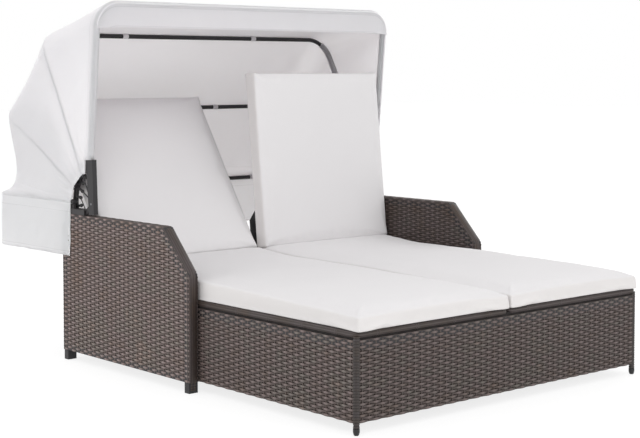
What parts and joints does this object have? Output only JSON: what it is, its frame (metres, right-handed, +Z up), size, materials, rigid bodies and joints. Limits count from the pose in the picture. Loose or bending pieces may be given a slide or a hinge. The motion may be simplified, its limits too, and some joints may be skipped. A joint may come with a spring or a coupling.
{
  "type": "outdoor daybed with folding canopy",
  "caption": "Two-person woven resin sun lounger with separate reclining backrests, flat cushions, solid woven arms and a fabric hood on folding bows",
  "frame": {"origin": "centre of the footprint, on the floor the glides stand on", "axes": "+X to the right seen from the foot end, +Y from the foot end to the head end, +Z up"},
  "size_m": [1.393, 2.0337, 1.2856],
  "materials": {
    "wicker": "dark brown mixed flat resin strand, plain over-and-under weave, low sheen",
    "painted_steel": "dark grey powder coat, satin",
    "grey_steel": "mid grey paint, satin",
    "black_plastic": "moulded black plastic, slight gloss",
    "canopy_cloth": "off-white coated canvas, matt",
    "cushion_cloth": "cream white woven polyester cover, matt"
  },
  "bodies": {
    "bed": {"left_arm_weave": "wicker", "left_arm_frame": "painted_steel", "left_arm_front_glide": "black_plastic", "left_arm_rear_glide": "black_plastic", "left_corner_post": "wicker", "left_corner_glide": "black_plastic", "left_skirt": "wicker", "left_rail": "painted_steel", "left_seat_frame": "wicker", "left_seat_weave": "wicker", "left_seat_cushion": "cushion_cloth", "left_hinge_rod": "grey_steel", "left_inner_rack": "painted_steel", "left_outer_rack": "painted_steel", "left_pivot_bracket": "grey_steel", "left_pivot_bolt": "grey_steel", "left_quadrant": "black_plastic", "right_arm_weave": "wicker", "right_arm_frame": "painted_steel", "right_arm_front_glide": "black_plastic", "right_arm_rear_glide": "black_plastic", "right_corner_post": "wicker", "right_corner_glide": "black_plastic", "right_skirt": "wicker", "right_rail": "painted_steel", "right_seat_frame": "wicker", "right_seat_weave": "wicker", "right_seat_cushion": "cushion_cloth", "right_hinge_rod": "grey_steel", "right_inner_rack": "painted_steel", "right_outer_rack": "painted_steel", "right_pivot_bracket": "grey_steel", "right_pivot_bolt": "grey_steel", "right_quadrant": "black_plastic", "front_skirt": "wicker", "front_rail": "painted_steel", "rear_skirt": "wicker", "rear_rail": "painted_steel", "cross_rail": "painted_steel", "hinge_rail": "painted_steel", "rear_bow": "painted_steel", "rear_flap": "canopy_cloth"},
    "left_backrest": {"left_back_frame": "wicker", "left_back_weave": "wicker", "left_back_cushion": "cushion_cloth"},
    "left_prop_rod": {"left_prop": "painted_steel"},
    "right_backrest": {"right_back_frame": "wicker", "right_back_weave": "wicker", "right_back_cushion": "cushion_cloth"},
    "right_prop_rod": {"right_prop": "painted_steel"},
    "second_canopy_bow": {"second_bow": "painted_steel", "canopy_rear_cloth": "canopy_cloth"},
    "first_canopy_bow": {"first_bow": "painted_steel", "canopy_middle_cloth": "canopy_cloth"},
    "front_canopy_bow": {"front_bow": "painted_steel", "left_post": "painted_steel", "right_post": "painted_steel", "canopy_front_cloth": "canopy_cloth", "front_valance": "canopy_cloth"}
  },
  "joints": [
    {"name": "left_backrest_recline", "type": "hinge", "parent": "bed", "child": "left_backrest", "pos_m": [0, 0.2762, 0.29], "axis": [1, 0, 0], "range_deg": [-56.3, 27.6]},
    {"name": "left_prop_swing", "type": "hinge", "parent": "left_backrest", "child": "left_prop_rod", "pos_m": [0, 0.38272, 0.41729], "axis": [1, 0, 0], "range_deg": [-53.54, 109.22]},
    {"name": "right_backrest_recline", "type": "hinge", "parent": "bed", "child": "right_backrest", "pos_m": [0, 0.2762, 0.29], "axis": [1, 0, 0], "range_deg": [-83.9, 0]},
    {"name": "right_prop_swing", "type": "hinge", "parent": "right_backrest", "child": "right_prop_rod", "pos_m": [0, 0.31163, 0.45215], "axis": [1, 0, 0], "range_deg": [0, 162.77]},
    {"name": "canopy_fold", "type": "hinge", "parent": "bed", "child": "second_canopy_bow", "pos_m": [0, 0.3312, 0.575], "axis": [-1, 0, 0], "range_deg": [0, 17.5], "deforming": ["canopy_rear_cloth"]},
    {"name": "first_bow_fold", "type": "hinge", "parent": "second_canopy_bow", "child": "first_canopy_bow", "pos_m": [0, 0.3312, 0.575], "axis": [-1, 0, 0], "range_deg": [0, 22.75], "deforming": ["canopy_middle_cloth"]},
    {"name": "front_bow_fold", "type": "hinge", "parent": "first_canopy_bow", "child": "front_canopy_bow", "pos_m": [0, 0.3312, 0.575], "axis": [-1, 0, 0], "range_deg": [0, 10.85], "deforming": ["canopy_front_cloth"]}
  ],
  "couplings": [
    {"joint": "left_prop_swing", "follows": "left_backrest_recline", "ratio": -1.94},
    {"joint": "right_prop_swing", "follows": "right_backrest_recline", "ratio": -1.94},
    {"joint": "first_bow_fold", "follows": "canopy_fold", "ratio": 1.3},
    {"joint": "front_bow_fold", "follows": "canopy_fold", "ratio": 0.62}
  ]
}
